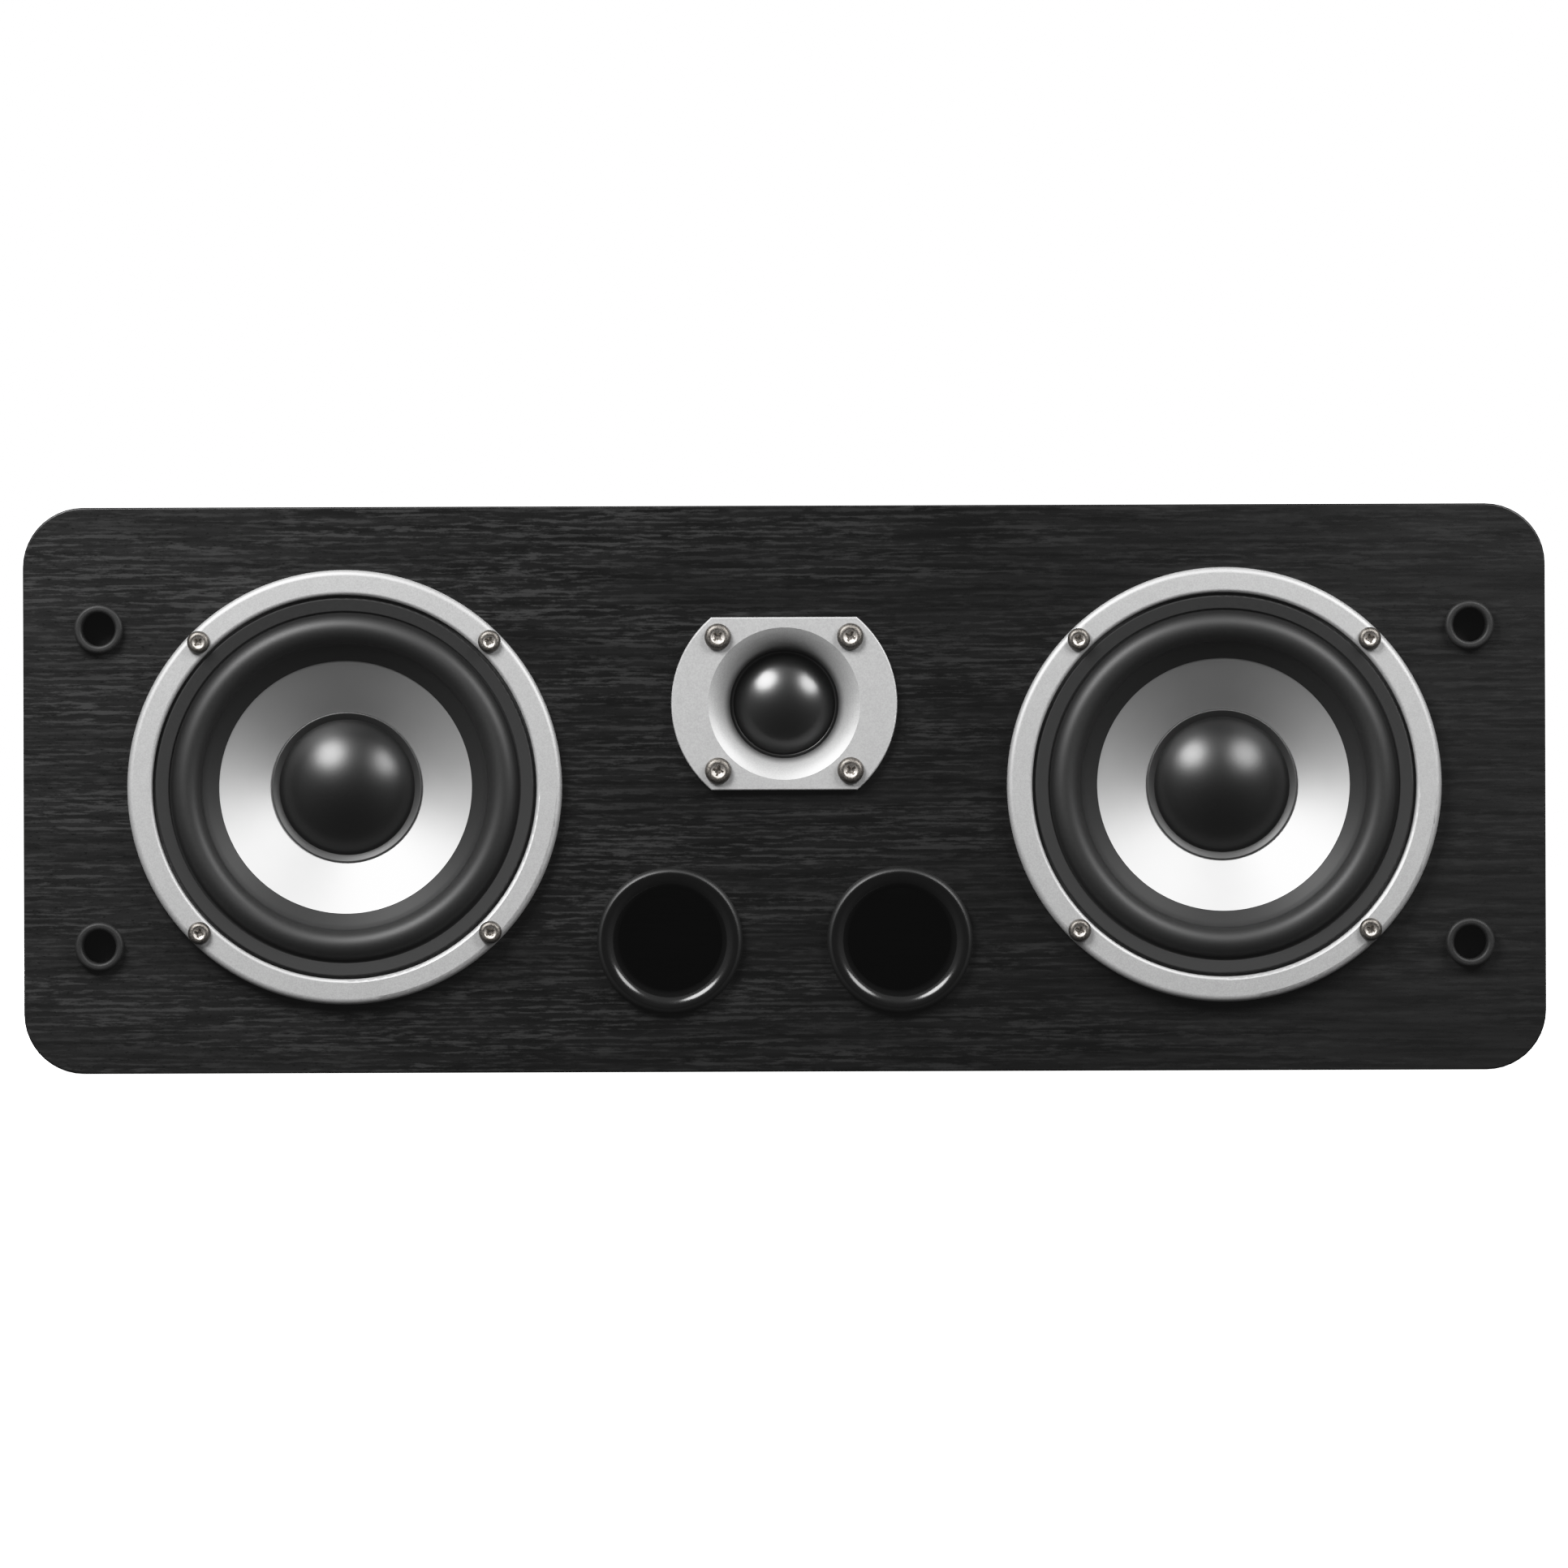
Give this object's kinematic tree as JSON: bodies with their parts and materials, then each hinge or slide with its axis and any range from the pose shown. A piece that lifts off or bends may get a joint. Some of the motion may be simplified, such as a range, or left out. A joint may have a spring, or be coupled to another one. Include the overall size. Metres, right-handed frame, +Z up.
{
  "type": "center channel speaker",
  "caption": "Low wide loudspeaker box with silver-coned woofers either side of a dome tweeter and flared bass ports, black wood grain, binding posts at the back.",
  "frame": {"origin": "middle of the cabinet's underside", "axes": "+X to the right seen from the front, -Y out of the front baffle, +Z up"},
  "size_m": [0.43, 0.2068, 0.16],
  "materials": {
    "cabinet_vinyl": "black wood-grain covering on fibreboard, satin",
    "rear_vinyl": "black wood-grain covering on fibreboard, satin",
    "wadding": "soft white wadding",
    "socket_rubber": "matt black rubber",
    "screw_nickel": "nickel-plated steel",
    "screw_black": "black-oxide steel",
    "silver_trim": "satin silver, fine-grained",
    "silver_cone": "satin silver metallised",
    "silk_dome": "coated black cloth, glossy",
    "coil_copper": "enamelled copper wire",
    "motor_steel": "zinc-plated steel",
    "ferrite": "bare ferrite",
    "terminal_board": "phenolic board with solder tags",
    "lead_insulation": "black wire insulation",
    "cup_plastic": "textured black plastic",
    "gold_plate": "gold-plated brass",
    "knob_red": "gloss red plastic",
    "knob_black": "gloss black plastic",
    "circuit_board": "green board",
    "capacitor_sleeve": "dark blue shrink sleeve",
    "resistor_ceramic": "white cement",
    "port_plastic": "gloss black plastic",
    "basket_paint": "black-painted pressed steel",
    "gasket_foam": "black foam gasket",
    "surround_rubber": "satin black rubber",
    "cap_plastic": "satin black plastic",
    "spider_cloth": "resin-stiffened cloth",
    "tinsel": "braided copper tinsel"
  },
  "bodies": {
    "cabinet": {"black_post": "gold_plate", "cabinet_wrap": "cabinet_vinyl", "crossover_board": "circuit_board", "crossover_capacitors": "capacitor_sleeve", "crossover_inductors": "coil_copper", "cup_screws": "screw_black", "damping_pads": "wadding", "front_baffle": "cabinet_vinyl", "grille_sockets": "socket_rubber", "left_port_tube": "port_plastic", "left_woofer_basket": "basket_paint", "left_woofer_front_plate": "motor_steel", "left_woofer_gasket": "gasket_foam", "left_woofer_leads": "lead_insulation", "left_woofer_magnet": "ferrite", "left_woofer_pole_yoke": "motor_steel", "left_woofer_spider": "spider_cloth", "left_woofer_surround": "surround_rubber", "left_woofer_terminal_strip": "terminal_board", "left_woofer_tinsel_leads": "tinsel", "left_woofer_trim_ring": "silver_trim", "post_nuts": "gold_plate", "rear_panel": "rear_vinyl", "red_post": "gold_plate", "right_port_tube": "port_plastic", "right_woofer_basket": "basket_paint", "right_woofer_front_plate": "motor_steel", "right_woofer_gasket": "gasket_foam", "right_woofer_leads": "lead_insulation", "right_woofer_magnet": "ferrite", "right_woofer_pole_yoke": "motor_steel", "right_woofer_spider": "spider_cloth", "right_woofer_surround": "surround_rubber", "right_woofer_terminal_strip": "terminal_board", "right_woofer_tinsel_leads": "tinsel", "right_woofer_trim_ring": "silver_trim", "terminal_cup": "cup_plastic", "tweeter_faceplate": "silver_trim", "tweeter_front_plate": "motor_steel", "tweeter_leads": "lead_insulation", "tweeter_magnet": "ferrite", "tweeter_pole_yoke": "motor_steel", "tweeter_resistor": "resistor_ceramic", "tweeter_screws": "screw_nickel", "tweeter_terminal_strip": "terminal_board", "woofer_screws": "screw_nickel"},
    "left_cone": {"left_woofer_cone": "silver_cone", "left_woofer_dust_cap": "cap_plastic", "left_woofer_voice_coil": "coil_copper"},
    "right_cone": {"right_woofer_cone": "silver_cone", "right_woofer_dust_cap": "cap_plastic", "right_woofer_voice_coil": "coil_copper"},
    "tweeter_diaphragm": {"tweeter_dome": "silk_dome", "tweeter_voice_coil": "coil_copper"},
    "red_washer": {"red_clamp_washer": "gold_plate"},
    "red_terminal": {"red_knob": "knob_red"},
    "black_washer": {"black_clamp_washer": "gold_plate"},
    "black_terminal": {"black_knob": "knob_black"}
  },
  "joints": [
    {"name": "left_cone_excursion", "type": "slide", "parent": "cabinet", "child": "left_cone", "axis": [0, -1, 0], "range_m": [-0.003, 0.003], "stiffness_N_per_m": 1000, "deforming": ["left_woofer_surround", "left_woofer_spider", "left_woofer_tinsel_leads"]},
    {"name": "right_cone_excursion", "type": "slide", "parent": "cabinet", "child": "right_cone", "axis": [0, -1, 0], "range_m": [-0.003, 0.003], "stiffness_N_per_m": 1000, "deforming": ["right_woofer_surround", "right_woofer_spider", "right_woofer_tinsel_leads"]},
    {"name": "tweeter_excursion", "type": "slide", "parent": "cabinet", "child": "tweeter_diaphragm", "axis": [0, -1, 0], "range_m": [-0.0004, 0.0004], "stiffness_N_per_m": 4000, "deforming": ["tweeter_dome"]},
    {"name": "red_washer_lift", "type": "slide", "parent": "cabinet", "child": "red_washer", "axis": [0, 1, 0], "range_m": [0, 0.005]},
    {"name": "red_knob_turn", "type": "hinge", "parent": "red_washer", "child": "red_terminal", "pos_m": [0.00953, 0.085, 0.08], "axis": [0, 1, 0], "range_deg": [0, 1800]},
    {"name": "black_washer_lift", "type": "slide", "parent": "cabinet", "child": "black_washer", "axis": [0, 1, 0], "range_m": [0, 0.005]},
    {"name": "black_knob_turn", "type": "hinge", "parent": "black_washer", "child": "black_terminal", "pos_m": [-0.00953, 0.085, 0.08], "axis": [0, 1, 0], "range_deg": [0, 1800]}
  ],
  "couplings": [
    {"joint": "red_knob_turn", "follows": "red_washer_lift", "rad_per_m": 6283.2},
    {"joint": "black_knob_turn", "follows": "black_washer_lift", "rad_per_m": 6283.2}
  ]
}
